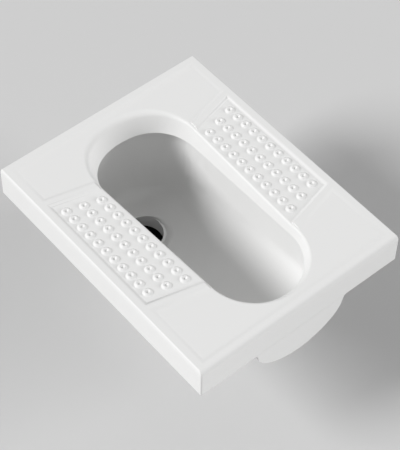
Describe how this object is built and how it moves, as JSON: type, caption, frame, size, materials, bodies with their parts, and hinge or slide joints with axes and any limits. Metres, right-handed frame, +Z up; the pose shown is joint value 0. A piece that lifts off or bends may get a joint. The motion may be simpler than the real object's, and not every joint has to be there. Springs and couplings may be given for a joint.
{
  "type": "floor squat pan",
  "caption": "Rectangular ceramic floor squat pan with studded foot treads, a long sloping bowl, an open flush rim, a rear flush inlet and a round bottom outlet.",
  "frame": {"origin": "centre of the open lower end of the outlet spigot", "axes": "+Z up, +Y towards the rear end with the flush inlet, +X to the right of someone who looks towards the rear"},
  "size_m": [0.478, 0.6, 0.3],
  "materials": {
    "glazed_china": "white glaze over vitreous china",
    "seal_rubber": "black moulded rubber"
  },
  "bodies": {
    "root": {"deck": "glazed_china", "flush_rim": "glazed_china", "bowl": "glazed_china", "outlet_spigot": "glazed_china", "inlet_horn": "glazed_china", "inlet_seal": "seal_rubber", "outlet_seal": "seal_rubber"}
  },
  "joints": []
}
